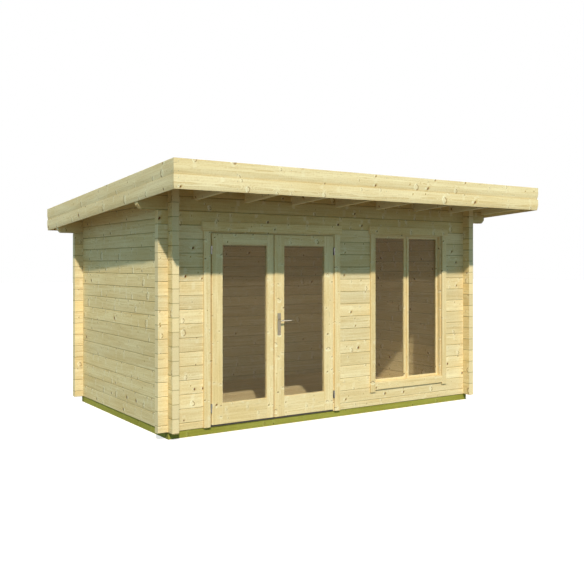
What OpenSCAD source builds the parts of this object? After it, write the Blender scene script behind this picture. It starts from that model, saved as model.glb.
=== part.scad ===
// Garden office pod: a log cabin with a pent roof, glazed double doors and a tall two-pane window.
// Millimetres. Origin on the ground under the middle of the roof, front towards -Y, up is +Z.

/* [Walls] */
// Width between the outer faces of the side walls
wall_w = 4000; // [3800:10:4800]
// Depth between the outer faces of the front and back walls
wall_d = 2500; // [2000:10:3200]
// Thickness of a wall log
log_t = 70; // [66:1:90]
// Cover height of one log
log_h = 135.5; // [132:0.5:142]
// Chamfer along the long edges of a log
log_chamfer = 5; // [3:0.5:8]
// Length of a log end past the corner joint
log_end = 100; // [60:5:150]
// Length of the top log ends that carry the verge rafters
bracket_end = 300; // [220:5:400]
// Chamfer under the bracket ends
bracket_chamfer = 40; // [20:1:60]
// Play between the crossing logs in the corner joints
corner_play = 0.2; // [0.1:0.05:0.8]
// Extra width of the wall between the doors and the window
pier_extra = 36; // [0:2:80]

/* [Base] */
// Height of the ground bearers
bearer_h = 70; // [50:1:100]
// Width of the ground bearers
bearer_w = log_t;
// Setback of the bearers from the wall faces
bearer_inset = 10; // [0:1:20]
// Number of floor joists
joist_count = 9; // [8:1:12]
// Width of a floor joist
joist_w = 45; // [35:1:60]
// Thickness of the floor boards
floor_t = 19; // [16:1:28]
// Gap between the floor boards and the walls
floor_gap = 3; // [1:0.5:8]

/* [Roof] */
// Fall of the roof towards the back in degrees
roof_pitch = 3.42; // [2:0.02:5]
// Overhang of the roof in front of the front wall
overhang_front = 815; // [500:5:1000]
// Overhang of the roof behind the back wall
overhang_back = 303; // [200:1:400]
// Number of rafters
rafter_count = 9; // [9:1:11]
// Width of a rafter
rafter_w = 45; // [35:1:60]
// Depth of a rafter
rafter_h = 145; // [120:1:170]
// Depth of the rafter seat cut into the log below
rafter_seat = 27.5; // [15:0.5:45]
// Thickness of the roof deck
deck_t = 19; // [16:1:28]
// Thickness of the roof covering
cover_t = 4; // [2:0.5:8]
// Thickness of the fascia boards
fascia_t = 19; // [14:1:28]
// Height of the upper fascia board
fascia_upper = 135; // [110:1:160]
// Height of the lower fascia board
fascia_lower = 124; // [100:1:150]
// Drop of the fascia below the rafters
fascia_drop = 36.5; // [20:0.5:60]
// Chamfer on the upper edge of a fascia board
fascia_chamfer = 2; // [1:0.5:5]
// Setback of the rounded lower edge of a fascia board
fascia_round = 10; // [5:0.5:14]
// Height over which a fascia board is rounded
fascia_round_h = 70; // [40:1:90]

/* [Door] */
// Width of both leaves together
door_w = 1474; // [1400:2:1500]
// Thickness of a leaf
leaf_t = 44; // [40:1:50]
// Distance the leaves stand in front of the wall face
leaf_proud = 12; // [8:1:16]
// Distance of the meeting line left of the door centre
meeting_shift = 20; // [10:1:30]
// Gap between the leaves
meeting_gap = 6; // [5:0.5:8]
// Gap between a leaf and its jamb
leaf_gap = 7.5; // [7:0.5:10]
// Gap over and under the leaves and in front of the stop
leaf_play = 6; // [5:0.5:8]
// Height of the threshold
threshold_h = 12; // [8:1:15]
// Width of a jamb
jamb_w = 40; // [36:1:50]
// Height of the door head
head_h = 66; // [50:1:80]
// Distance the stop covers the leaf edge
stop_lap = 8; // [5:1:14]
// Width of the outer stiles
stile_outer = 125; // [105:1:140]
// Distance from the door centre to the inner edge of the panes
stile_inner = 112; // [100:1:125]
// Height of the bottom rail
rail_bottom = 212; // [180:1:240]
// Height of the top rail
rail_top = 118; // [100:1:140]
// Thickness of the door panes
pane_t = 6; // [4:1:10]
// Setback of the door panes from the leaf face
pane_set = 16; // [12:1:22]
// Depth of the groove that holds a pane
pane_groove = 10; // [6:1:14]
// Width of the cover strip on the right leaf
strip_w = 34; // [28:1:36]
// Thickness of the cover strip
strip_t = 8; // [5:1:12]

/* [Door hardware] */
// Distance of the handle from the left edge of the right leaf
handle_inset = 58; // [56:0.5:66]
// Height of the lever above the underside of the walls
lever_z = 1010; // [940:5:1080]
// Width of the handle plate
plate_w = 40; // [34:1:42]
// Height of the handle plate
plate_h = 228; // [200:2:260]
// Thickness of the handle plate
plate_t = 4; // [3:0.5:6]
// Height of the lever above the middle of the plate
lever_rise = 38; // [25:1:50]
// Length of the lever
lever_length = 128; // [110:1:140]
// Radius of the lever
lever_r = 8; // [7:0.5:9]
// Distance from the plate to the lever centre
lever_stand = 44; // [36:1:50]
// Radius of the spindle
spindle_r = 6; // [5:0.5:7]
// Running gap around the spindle
spindle_play = 0.3; // [0.2:0.05:0.5]
// Radius of the key cylinder
key_r = 8; // [6:0.5:9]
// Distance of the key cylinder below the lever
key_drop = 110; // [90:1:120]
// Distance of the hinge axis from the leaf edge
hinge_offset = 10; // [9.5:0.5:11]
// Distance of the hinge axis in front of the wall face
hinge_proud = 20; // [18:0.5:24]
// Radius of a hinge knuckle
hinge_r = 6.5; // [6:0.25:7]
// Radius of a hinge pin
hinge_pin_r = 4; // [3:0.25:4.5]
// Running gap around a hinge pin
hinge_play = 0.08; // [0.05:0.01:0.1]
// Height of one hinge knuckle
knuckle_h = 40; // [30:1:50]
// Distance of the hinges from the leaf ends
hinge_end = 165; // [130:5:220]
// Thickness of a hinge wing
wing_t = 2; // [1.5:0.25:2.5]
// Depth of a hinge wing
wing_d = 34; // [25:1:38]

/* [Window] */
// Clear width inside the window frame
window_w = 1000; // [900:5:1080]
// Width of the window frame posts
frame_w = 45; // [40:1:52]
// Height of the window sill piece
sill_h = 55; // [45:1:70]
// Height of the window head piece
window_head_h = 50; // [40:1:60]
// Setback of the window frame from the wall face
frame_set = 5; // [2:1:10]
// Setback of the sashes from the wall face
sash_set = 44; // [38:1:46]
// Thickness of a sash
sash_t = 24; // [20:1:24]
// Width of the sash bars
sash_w = 30; // [26:1:40]
// Width of the mullion between the sashes
mullion_w = 26; // [20:1:34]
// Depth of the mullion
mullion_d = 14; // [10:1:20]
// Thickness of the window panes
window_pane_t = 6; // [4:1:8]
// Setback of the window panes from the sash face
window_pane_set = 9; // [7:1:12]
// Depth of the groove in the sash
window_groove = 8; // [5:1:12]

/* [Casings] */
// Thickness of the side casings
casing_t = 20; // [16:1:24]
// Thickness of the lintel casings
lintel_t = 26; // [22:1:32]
// Width of the door side casings
door_casing_w = 73; // [60:1:85]
// Distance of the door casings from the leaves
door_casing_gap = 18; // [17.5:0.5:20]
// Gap between the leaves and the door lintel
door_lintel_gap = 20; // [15:1:24]
// Height of the door lintel
door_lintel_h = 92; // [80:1:110]
// Overhang of the door lintel past the side casings
door_lintel_end = 20; // [10:1:30]
// Width of the window side casings
window_casing_w = 67; // [55:1:80]
// Part of the window frame left showing inside the casings
window_casing_gap = 18; // [12:1:24]
// Height of the window lintel
window_lintel_h = 88; // [75:1:105]
// Overhang of the window lintel past the side casings
window_lintel_end = 21; // [10:1:30]
// Height of the casing under the window
window_apron_h = 80; // [65:1:95]
// Distance the side casings run below that casing
window_casing_drop = 24; // [10:1:40]

/* [Hidden] */
$fn = 32;
slack = 1;
reach = 9000;
round_steps = 6;
front_courses = 15;
opening_courses = 14;
side_courses = 20;
neck = log_h / 4;
roof_w = wall_w + 2 * bracket_end + 2 * fascia_t;
roof_d = overhang_front + wall_d + overhang_back;
front_y = overhang_front - roof_d / 2;
back_y = front_y + wall_d;
inner_front = front_y + log_t;
inner_back = back_y - log_t;
half_w = wall_w / 2;
base_z = bearer_h;
opening_top = log_h * (opening_courses + 0.5);
sill_top = log_h * 1.5;
rafter_z = base_z + log_h * (front_courses + 1.5) - rafter_seat;
deck_front = -roof_d / 2 + fascia_t;
deck_back = roof_d / 2 - fascia_t;
deck_half = half_w + bracket_end;
rafter_step = (2 * deck_half - rafter_w) / (rafter_count - 1);
fascia_h = fascia_upper + fascia_lower;
fascia_front_z = rafter_z + overhang_front * tan(roof_pitch) - fascia_drop / cos(roof_pitch);
fascia_back_z = rafter_z - (wall_d + overhang_back) * tan(roof_pitch) - fascia_drop / cos(roof_pitch);

leaf_half = door_w / 2;
door_full = 2 * (leaf_half + door_casing_gap + door_casing_w + door_lintel_end);
window_full = window_w + 2 * (window_casing_gap + window_casing_w + window_lintel_end);
pier_w = (wall_w - door_full - window_full - pier_extra) / 3;
door_x = pier_w + door_full / 2 - half_w;
window_x = half_w - pier_w - window_full / 2;
leaf_bottom = threshold_h + leaf_play;
leaf_top = opening_top - head_h - leaf_play;
leaf_h = leaf_top - leaf_bottom;
leaf_front = front_y - leaf_proud;
leaf_back = leaf_front + leaf_t;
jamb_inner = leaf_half + leaf_gap;
jamb_outer = jamb_inner + jamb_w;
stop_y = leaf_back + leaf_play;
meeting_x = door_x - meeting_shift;
left_edge = door_x - leaf_half;
right_edge = door_x + leaf_half;
left_meet = meeting_x - meeting_gap / 2;
right_meet = meeting_x + meeting_gap / 2;
door_pane_w = leaf_half - stile_outer - stile_inner;
door_pane_h = leaf_h - rail_bottom - rail_top;
door_pane_z = leaf_bottom + rail_bottom;
left_pane_x = left_edge + stile_outer;
right_pane_x = door_x + stile_inner;
casing_inner = leaf_half + door_casing_gap;
casing_outer = casing_inner + door_casing_w;
lintel_z = leaf_top + door_lintel_gap;
handle_x = right_meet + handle_inset;
plate_z = lever_z - lever_rise;
hinge_y = front_y - hinge_proud;
hinge_low = leaf_bottom + hinge_end;
hinge_high = leaf_top - hinge_end;

window_half = window_w / 2;
frame_outer = window_half + frame_w;
window_bottom = sill_top + sill_h;
window_top = opening_top - window_head_h;
sash_h = window_top - window_bottom;
sash_full_w = window_half - mullion_w / 2;
window_pane_w = sash_full_w - 2 * sash_w;
window_pane_h = sash_h - 2 * sash_w;
window_casing_inner = window_half + window_casing_gap;
window_casing_outer = window_casing_inner + window_casing_w;
window_lintel_z = window_top + window_casing_gap - 2;
window_apron_z = window_bottom - 2 - window_apron_h;
window_casing_z = window_apron_z - window_casing_drop;

wood = [0.92, 0.85, 0.65];
trim = [0.93, 0.88, 0.7];
treated = [0.6, 0.6, 0.28];
metal = [0.6, 0.6, 0.6];
glazing = [0.45, 0.4, 0.3, 0.5];
sheet = [0.2, 0.2, 0.2];

// Height of a joint line in the front and back walls, which start with half a log
function front_line(n) = log_h * (n + 0.5);
// Joint lines from the wall base up to line n
function low_lines(n) = concat([0], [for (i = [0 : n]) front_line(i)]);

// Section of a stack of logs with chamfered edges on both faces
function stack_face(lines) = concat(
  [for (i = [0 : len(lines) - 2]) each [
    [log_chamfer, lines[i]],
    [0, lines[i] + log_chamfer],
    [0, lines[i + 1] - log_chamfer]]],
  [[log_chamfer, lines[len(lines) - 1]]]);
function stack_section(lines) = let (face = stack_face(lines), last = len(face) - 1)
  concat(face, [for (i = [0 : last]) [log_t - face[last - i][0], face[last - i][1]]]);

// Logs lying along X between two ends, outer face at the front
module logs_x(x_from, x_to, y, lines) {
  translate([x_from, y, base_z]) rotate([90, 0, 90])
    linear_extrude(x_to - x_from) polygon(stack_section(lines));
}

// Logs lying along Y between two ends
module logs_y(x, y_from, y_to, lines) {
  translate([x, y_to, base_z]) rotate([90, 0, 0])
    linear_extrude(y_to - y_from) polygon(stack_section(lines));
}

// Corner notches in the front and back walls for the necks of the side wall logs
module side_necks(x, y) {
  for (k = [0 : side_courses])
    translate([x, y - slack, base_z + log_h * k + neck - corner_play])
      cube([log_t, log_t + 2 * slack, 2 * neck + 2 * corner_play]);
}

// Corner notches in the side walls for the necks of the front or back wall logs
module cross_necks(x, y) {
  translate([x - slack, y, base_z - slack]) cube([log_t + 2 * slack, log_t, neck + slack]);
  for (k = [0 : side_courses])
    translate([x - slack, y, base_z + log_h * k + 3 * neck])
      cube([log_t + 2 * slack, log_t, 2 * neck]);
}

// Places things in the sloping frame of the rafters
module on_slope() {
  translate([0, front_y, rafter_z]) rotate([-roof_pitch, 0, 0]) children();
}

// Sloping slab between two plumb ends
module slope_slab(x_from, x_to, y_from, y_to, z_from, z_to) {
  intersection() {
    on_slope() translate([x_from, -reach / 2, z_from]) cube([x_to - x_from, reach, z_to - z_from]);
    translate([x_from - slack, y_from, 0]) cube([x_to - x_from + 2 * slack, y_to - y_from, reach]);
  }
}

// Seats for the rafters, open at the top and past the verges
module rafter_seats() {
  for (i = [0 : rafter_count - 1])
    let (x = -deck_half + i * rafter_step,
         x_from = i == 0 ? x - slack : x,
         x_to = i == rafter_count - 1 ? x + rafter_w + slack : x + rafter_w)
      on_slope() translate([x_from, -reach / 2, 0]) cube([x_to - x_from, reach, reach]);
}

module above_rafters() {
  on_slope() translate([-reach / 2, -reach / 2, rafter_h]) cube([reach, reach, reach]);
}

module bearer_along(y) {
  color(treated) translate([bearer_inset - half_w, y, 0])
    cube([wall_w - 2 * bearer_inset, bearer_w, bearer_h]);
}
module bearer_front() bearer_along(front_y + bearer_inset);
module bearer_back() bearer_along(back_y - bearer_inset - bearer_w);

module bearer_across(x) {
  color(treated) translate([x, front_y + bearer_inset + bearer_w, 0])
    cube([bearer_w, wall_d - 2 * bearer_inset - 2 * bearer_w, bearer_h]);
}
module bearer_left() bearer_across(bearer_inset - half_w);
module bearer_right() bearer_across(half_w - bearer_inset - bearer_w);

module floor_joists() {
  span = wall_w - 2 * bearer_inset - 2 * bearer_w;
  gap = (span - joist_count * joist_w) / (joist_count + 1);
  color(treated) for (i = [1 : joist_count])
    translate([-span / 2 + i * gap + (i - 1) * joist_w, front_y + bearer_inset + bearer_w, 0])
      cube([joist_w, wall_d - 2 * bearer_inset - 2 * bearer_w, bearer_h]);
}

module floor_boards() {
  inner_w = wall_w - 2 * log_t - 2 * floor_gap;
  color(trim) translate([-inner_w / 2, inner_front + floor_gap, base_z])
    cube([inner_w, inner_back - inner_front - 2 * floor_gap, floor_t]);
}

module front_wall_left() {
  color(wood) difference() {
    logs_x(-half_w - log_end, door_x - jamb_outer, front_y, low_lines(opening_courses));
    side_necks(-half_w, front_y);
  }
}

module front_wall_middle() {
  color(wood)
    logs_x(door_x + jamb_outer, window_x - frame_outer, front_y, low_lines(opening_courses));
}

module front_wall_right() {
  color(wood) difference() {
    logs_x(window_x + frame_outer, half_w + log_end, front_y, low_lines(opening_courses));
    side_necks(half_w - log_t, front_y);
  }
}

module front_wall_sill() {
  color(wood) logs_x(window_x - frame_outer, window_x + frame_outer, front_y, low_lines(1));
}

module front_wall_over() {
  color(wood) difference() {
    logs_x(-half_w - log_end, half_w + log_end, front_y,
      [front_line(opening_courses), front_line(front_courses)]);
    side_necks(-half_w, front_y);
    side_necks(half_w - log_t, front_y);
  }
}

// Top logs that run on past the corners as brackets, with seats for the rafters
module top_logs(y, first) {
  color(wood) difference() {
    logs_x(-half_w - bracket_end, half_w + bracket_end, y,
      [for (i = [first : first + 2]) front_line(i)]);
    side_necks(-half_w, y);
    side_necks(half_w - log_t, y);
    for (side = [-1, 1])
      translate([side * (half_w + bracket_end), y + log_t / 2, base_z + front_line(first)])
        rotate([0, 45, 0])
          cube([bracket_chamfer * sqrt(2), log_t + 2 * slack, bracket_chamfer * sqrt(2)], center = true);
    rafter_seats();
    above_rafters();
  }
}
module front_wall_top() top_logs(front_y, front_courses);
module back_wall_top() top_logs(back_y - log_t, opening_courses);

module side_wall(x) {
  color(wood) difference() {
    logs_y(x, front_y - log_end, back_y + log_end, [for (i = [0 : side_courses]) log_h * i]);
    cross_necks(x, front_y);
    cross_necks(x, back_y - log_t);
    above_rafters();
  }
}
module left_wall() side_wall(-half_w);
module right_wall() side_wall(half_w - log_t);

module back_wall() {
  color(wood) difference() {
    logs_x(-half_w - log_end, half_w + log_end, back_y - log_t, low_lines(opening_courses));
    side_necks(-half_w, back_y - log_t);
    side_necks(half_w - log_t, back_y - log_t);
  }
}

module rafters() {
  color(trim) for (i = [0 : rafter_count - 1])
    let (x = -deck_half + i * rafter_step)
      slope_slab(x, x + rafter_w, deck_front, deck_back, 0, rafter_h);
}

module roof_deck() {
  color(trim) slope_slab(-deck_half, deck_half, deck_front, deck_back, rafter_h, rafter_h + deck_t);
}

module roof_cover() {
  color(sheet) slope_slab(-deck_half, deck_half, deck_front, deck_back + fascia_t,
    rafter_h + deck_t, rafter_h + deck_t + cover_t);
}

// Outer face of one fascia board from its rounded lower edge to its upper edge
function fascia_face(low, high) = concat(
  [for (i = [0:round_steps])
    [fascia_round * pow(1 - i / round_steps, 2), low + fascia_round_h * i / round_steps]],
  [[0, high - fascia_chamfer], [fascia_chamfer, high]]);

// Section of two fascia boards, outer face at x = 0
module fascia_section() {
  polygon(concat([[fascia_t, 0]], fascia_face(0, fascia_lower), fascia_face(fascia_lower, fascia_h),
    [[fascia_t, fascia_h]]));
}

module fascia_front() {
  color(trim) intersection() {
    translate([-roof_w / 2, -roof_d / 2, fascia_front_z]) rotate([90, 0, 90])
      linear_extrude(roof_w) fascia_section();
    linear_extrude(reach) polygon([[-roof_w / 2, -roof_d / 2], [roof_w / 2, -roof_d / 2],
      [deck_half, deck_front], [-deck_half, deck_front]]);
  }
}

module fascia_left() {
  color(trim) intersection() {
    on_slope() translate([-roof_w / 2, reach / 2, -fascia_drop]) rotate([90, 0, 0])
      linear_extrude(reach) fascia_section();
    linear_extrude(reach) polygon([[-roof_w / 2, -roof_d / 2], [-deck_half, deck_front],
      [-deck_half, roof_d / 2], [-roof_w / 2, roof_d / 2]]);
  }
}
module fascia_right() mirror([1, 0, 0]) fascia_left();

module fascia_back() {
  color(trim) difference() {
    translate([deck_half, roof_d / 2, fascia_back_z]) rotate([90, 0, -90])
      linear_extrude(2 * deck_half) fascia_section();
    on_slope() translate([-reach / 2, -reach / 2, rafter_h + deck_t]) cube([reach, reach, reach]);
  }
}

module jamb(side) {
  x_jamb = side > 0 ? door_x + jamb_inner : door_x - jamb_outer;
  x_stop = side > 0 ? door_x + leaf_half - stop_lap : door_x - jamb_inner;
  color(trim) {
    translate([x_jamb, front_y, base_z]) cube([jamb_w, log_t, opening_top]);
    translate([x_stop, stop_y, base_z + threshold_h])
      cube([leaf_gap + stop_lap, inner_front - stop_y, opening_top - threshold_h - head_h]);
  }
}
module door_jamb_left() jamb(-1);
module door_jamb_right() jamb(1);

module door_head() {
  color(trim) {
    translate([door_x - jamb_inner, front_y, base_z + opening_top - head_h])
      cube([2 * jamb_inner, log_t, head_h]);
    translate([door_x - leaf_half + stop_lap, stop_y, base_z + leaf_top - stop_lap])
      cube([door_w - 2 * stop_lap, inner_front - stop_y, head_h]);
  }
}

module door_threshold() {
  color(metal) translate([door_x - jamb_inner, front_y, base_z])
    cube([2 * jamb_inner, log_t, threshold_h]);
}

module door_casing(x) {
  color(trim) translate([x, front_y - casing_t, base_z]) cube([door_casing_w, casing_t, lintel_z]);
}
module door_casing_left() door_casing(door_x - casing_outer);
module door_casing_right() door_casing(door_x + casing_inner);

module door_lintel() {
  lintel_half = casing_outer + door_lintel_end;
  color(trim) translate([door_x - lintel_half, front_y - lintel_t, base_z + lintel_z])
    cube([2 * lintel_half, lintel_t, door_lintel_h]);
}

// One leaf with a pane opening and the groove around it
module leaf(x_from, x_to, pane_x) {
  translate([0, leaf_front, base_z]) difference() {
    translate([x_from, 0, leaf_bottom]) cube([x_to - x_from, leaf_t, leaf_h]);
    translate([pane_x, -slack, door_pane_z]) cube([door_pane_w, leaf_t + 2 * slack, door_pane_h]);
    translate([pane_x - pane_groove, pane_set, door_pane_z - pane_groove])
      cube([door_pane_w + 2 * pane_groove, pane_t, door_pane_h + 2 * pane_groove]);
  }
}

module pane(pane_x) {
  lap = pane_groove - slack / 2;
  color(glazing) translate([pane_x - lap, leaf_front + pane_set, base_z + door_pane_z - lap])
    cube([door_pane_w + 2 * lap, pane_t, door_pane_h + 2 * lap]);
}

// Round bar along Y
module bar_y(x, y, z, r, length) {
  translate([x, y, z]) rotate([-90, 0, 0]) cylinder(r = r, h = length);
}

module left_leaf() color(trim) leaf(left_edge, left_meet, left_pane_x);
module left_pane() pane(left_pane_x);

module right_leaf() {
  color(trim) difference() {
    leaf(right_meet, right_edge, right_pane_x);
    bar_y(handle_x, leaf_front - slack, base_z + lever_z, spindle_r + spindle_play, leaf_t + 2 * slack);
  }
}
module right_pane() pane(right_pane_x);

module cover_strip() {
  color(trim) translate([right_meet, leaf_front - strip_t, base_z + leaf_bottom])
    cube([strip_w, strip_t, leaf_h]);
}

module plate(y_from, key_from, key_length) {
  difference() {
    translate([handle_x - plate_w / 2, y_from, base_z + plate_z - plate_h / 2])
      cube([plate_w, plate_t, plate_h]);
    bar_y(handle_x, y_from - slack, base_z + lever_z, spindle_r + spindle_play, plate_t + 2 * slack);
  }
  bar_y(handle_x, key_from, base_z + lever_z - key_drop, key_r, key_length);
}

module handle_plates() {
  color(metal) {
    plate(leaf_front - plate_t, leaf_front - 2 * plate_t, plate_t + slack);
    plate(leaf_back, leaf_back + plate_t - slack, plate_t + slack);
  }
}

module lever() {
  outer_y = leaf_front - plate_t - lever_stand;
  inner_y = leaf_back + plate_t + lever_stand;
  color(metal) {
    bar_y(handle_x, outer_y, base_z + lever_z, spindle_r, inner_y - outer_y);
    for (y = [outer_y, inner_y]) {
      translate([handle_x, y, base_z + lever_z]) {
        sphere(r = lever_r);
        rotate([0, 90, 0]) cylinder(r = lever_r, h = lever_length - lever_r);
        translate([lever_length - lever_r, 0, 0]) sphere(r = lever_r);
      }
    }
  }
}

// Fixed halves of the hinges: lower knuckle, pin and a wing on the jamb
module hinge_pin_set(side) {
  edge = door_x + side * leaf_half;
  axis = edge + side * hinge_offset;
  wing_x = side > 0 ? door_x + jamb_inner - wing_t : door_x - jamb_inner;
  for (z = [hinge_low, hinge_high]) translate([0, 0, base_z + z]) {
    translate([axis, hinge_y, -knuckle_h]) cylinder(r = hinge_r, h = knuckle_h - slack / 2);
    translate([axis, hinge_y, -slack]) cylinder(r = hinge_pin_r, h = knuckle_h);
    translate([wing_x, hinge_y, -knuckle_h]) cube([wing_t, wing_d, knuckle_h - slack / 2]);
  }
}

module hinge_pins() {
  color(metal) {
    hinge_pin_set(-1);
    hinge_pin_set(1);
  }
}

// Leaf halves of the hinges: upper knuckle, strap and a wing on the leaf edge
module hinge_leaf_set(side) {
  edge = door_x + side * leaf_half;
  axis = edge + side * hinge_offset;
  wing_x = side > 0 ? edge : edge - wing_t;
  strap_x = side > 0 ? edge : axis;
  color(metal) for (z = [hinge_low, hinge_high]) translate([0, 0, base_z + z]) difference() {
    union() {
      translate([axis, hinge_y, slack / 2]) cylinder(r = hinge_r, h = knuckle_h);
      translate([strap_x, hinge_y - wing_t / 2, slack / 2]) cube([hinge_offset, wing_t, knuckle_h]);
      translate([wing_x, hinge_y - wing_t / 2, slack / 2]) cube([wing_t, wing_d, knuckle_h]);
    }
    translate([axis, hinge_y, 0]) cylinder(r = hinge_pin_r + hinge_play, h = knuckle_h + 2 * slack);
  }
}
module left_hinges() hinge_leaf_set(-1);
module right_hinges() hinge_leaf_set(1);

module window_frame() {
  depth = log_t - frame_set;
  color(trim) translate([window_x, front_y + frame_set, base_z]) {
    difference() {
      translate([-frame_outer, 0, sill_top]) cube([2 * frame_outer, depth, opening_top - sill_top]);
      translate([-window_half, -slack, window_bottom]) cube([window_w, depth + 2 * slack, sash_h]);
    }
    translate([-mullion_w / 2, depth - mullion_d, window_bottom]) cube([mullion_w, mullion_d, sash_h]);
  }
}

module sash(x) {
  translate([x, front_y + sash_set, base_z + window_bottom]) difference() {
    cube([sash_full_w, sash_t, sash_h]);
    translate([sash_w, -slack, sash_w]) cube([window_pane_w, sash_t + 2 * slack, window_pane_h]);
    translate([sash_w - window_groove, window_pane_set, sash_w - window_groove])
      cube([window_pane_w + 2 * window_groove, window_pane_t, window_pane_h + 2 * window_groove]);
  }
}

module window_sashes() {
  color(trim) {
    sash(window_x - window_half);
    sash(window_x + mullion_w / 2);
  }
}

module window_panes() {
  lap = window_groove - slack / 2;
  color(glazing) for (x = [window_x - window_half, window_x + mullion_w / 2])
    translate([x + sash_w - lap, front_y + sash_set + window_pane_set, base_z + window_bottom + sash_w - lap])
      cube([window_pane_w + 2 * lap, window_pane_t, window_pane_h + 2 * lap]);
}

module window_casings() {
  color(trim) for (x = [-window_casing_outer, window_casing_inner])
    translate([window_x + x, front_y - casing_t, base_z + window_casing_z])
      cube([window_casing_w, casing_t, window_lintel_z - window_casing_z]);
}

module window_lintel() {
  lintel_half = window_casing_outer + window_lintel_end;
  color(trim) translate([window_x - lintel_half, front_y - lintel_t, base_z + window_lintel_z])
    cube([2 * lintel_half, lintel_t, window_lintel_h]);
}

module window_apron() {
  color(trim) translate([window_x - window_casing_inner, front_y - casing_t, base_z + window_apron_z])
    cube([2 * window_casing_inner, casing_t, window_apron_h]);
}

bearer_front();
bearer_back();
bearer_left();
bearer_right();
floor_joists();
floor_boards();
front_wall_left();
front_wall_middle();
front_wall_right();
front_wall_sill();
front_wall_over();
front_wall_top();
left_wall();
right_wall();
back_wall();
back_wall_top();
rafters();
roof_deck();
roof_cover();
fascia_front();
fascia_left();
fascia_right();
fascia_back();
door_jamb_left();
door_jamb_right();
door_head();
door_threshold();
door_casing_left();
door_casing_right();
door_lintel();
hinge_pins();
left_leaf();
left_pane();
left_hinges();
right_leaf();
right_pane();
right_hinges();
cover_strip();
handle_plates();
lever();
window_frame();
window_sashes();
window_panes();
window_casings();
window_lintel();
window_apron();
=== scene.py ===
import math
import random

import bmesh
import bpy
from mathutils import Matrix, Vector


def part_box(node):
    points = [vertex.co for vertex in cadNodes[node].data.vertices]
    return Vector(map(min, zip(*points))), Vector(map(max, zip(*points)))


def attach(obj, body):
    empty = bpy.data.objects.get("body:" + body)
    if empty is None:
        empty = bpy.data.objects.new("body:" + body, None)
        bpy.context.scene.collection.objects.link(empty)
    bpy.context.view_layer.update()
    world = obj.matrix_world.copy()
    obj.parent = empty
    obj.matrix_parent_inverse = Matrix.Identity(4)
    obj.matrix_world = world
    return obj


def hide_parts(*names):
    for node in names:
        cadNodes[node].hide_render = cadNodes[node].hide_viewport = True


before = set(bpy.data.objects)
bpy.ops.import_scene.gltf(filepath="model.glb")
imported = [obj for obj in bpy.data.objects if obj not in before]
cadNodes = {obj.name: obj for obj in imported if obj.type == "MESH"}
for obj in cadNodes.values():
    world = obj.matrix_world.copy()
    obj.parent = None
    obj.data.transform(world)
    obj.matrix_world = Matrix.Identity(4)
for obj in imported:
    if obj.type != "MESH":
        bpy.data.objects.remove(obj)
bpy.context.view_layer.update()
rng = random.Random(7)
print("stage: frame loaded,", len(cadNodes), "nodes")


def tone(r, g, b):  # 0 to 255 screen colour to linear
    def lin(c):
        c = c / 255
        return c / 12.92 if c <= 0.04045 else ((c + 0.055) / 1.055) ** 2.4
    return (lin(r), lin(g), lin(b), 1.0)


# shader maths on sockets

class Sock:
    def __init__(self, kit, socket):
        self.kit = kit
        self.socket = socket

    def op(self, name, *others):
        return self.kit.add("ShaderNodeMath", {"operation": name}, dict(enumerate((self,) + others)))

    def __add__(self, other):
        return self.op("ADD", other)

    def __radd__(self, other):
        return self.op("ADD", other)

    def __sub__(self, other):
        return self.op("SUBTRACT", other)

    def __rsub__(self, other):
        return self.kit.add("ShaderNodeMath", {"operation": "SUBTRACT"}, {0: other, 1: self})

    def __mul__(self, other):
        return self.op("MULTIPLY", other)

    def __rmul__(self, other):
        return self.op("MULTIPLY", other)

    def __truediv__(self, other):
        return self.op("DIVIDE", other)

    def __rtruediv__(self, other):
        return self.kit.add("ShaderNodeMath", {"operation": "DIVIDE"}, {0: other, 1: self})

    def __pow__(self, other):
        return self.op("POWER", other)

    def __abs__(self):
        return self.op("ABSOLUTE")


class Kit:
    def __init__(self, holder):  # a new material or the world
        self.holder = holder
        holder.use_nodes = True
        self.tree = holder.node_tree
        self.tree.nodes.clear()

    def add(self, kind, settings=None, values=None, out=0):
        node = self.tree.nodes.new(kind)
        for key, value in (settings or {}).items():
            setattr(node, key, value)
        for key, value in (values or {}).items():
            if isinstance(value, Sock):
                self.tree.links.new(value.socket, node.inputs[key])
            else:
                node.inputs[key].default_value = value
        return Sock(self, node.outputs[out]) if node.outputs else None

    def pull(self, sock, *names):  # other outputs of the same node
        return [Sock(self, sock.socket.node.outputs[n]) for n in names]

    def split(self, sock):
        x = self.add("ShaderNodeSeparateXYZ", None, {0: sock})
        return self.pull(x, "X", "Y", "Z")

    def joined(self, x, y, z=0.0):
        return self.add("ShaderNodeCombineXYZ", None, {"X": x, "Y": y, "Z": z})

    def tinted(self, red, green, blue):
        return self.add("ShaderNodeCombineColor", None, {"Red": red, "Green": green, "Blue": blue})

    def noise(self, vector, scale, detail=2.0, rough=0.5):
        return self.add("ShaderNodeTexNoise", None,
                        {"Vector": vector, "Scale": scale, "Detail": detail, "Roughness": rough})

    def step(self, value, low, high):  # smooth 0 to 1 between two values
        return self.add("ShaderNodeMapRange", {"interpolation_type": "SMOOTHSTEP"},
                        {"Value": value, "From Min": low, "From Max": high})

    def blend(self, amount, first, second, mode="MIX"):
        return self.add("ShaderNodeMix", {"data_type": "RGBA", "blend_type": mode},
                        {0: amount, 6: first, 7: second}, 2)

    def place(self):
        return self.add("ShaderNodeTexCoord", None, None, "Object")

    def surface(self, values):
        shader = self.add("ShaderNodeBsdfPrincipled", None, values)
        self.add("ShaderNodeOutputMaterial", None, {"Surface": shader})
        return self.holder

    def finish(self, colour, rough, height, fixed, depth, strength):
        bump = self.add("ShaderNodeBump", None, {"Height": height, "Distance": depth, "Strength": strength})
        return self.surface({"Base Color": colour, "Roughness": rough, "Normal": bump, **fixed})


def materialKit(name):
    return Kit(bpy.data.materials.new(name))


# wood: planed softwood with growth rings, fibre, knots and small checks

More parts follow.
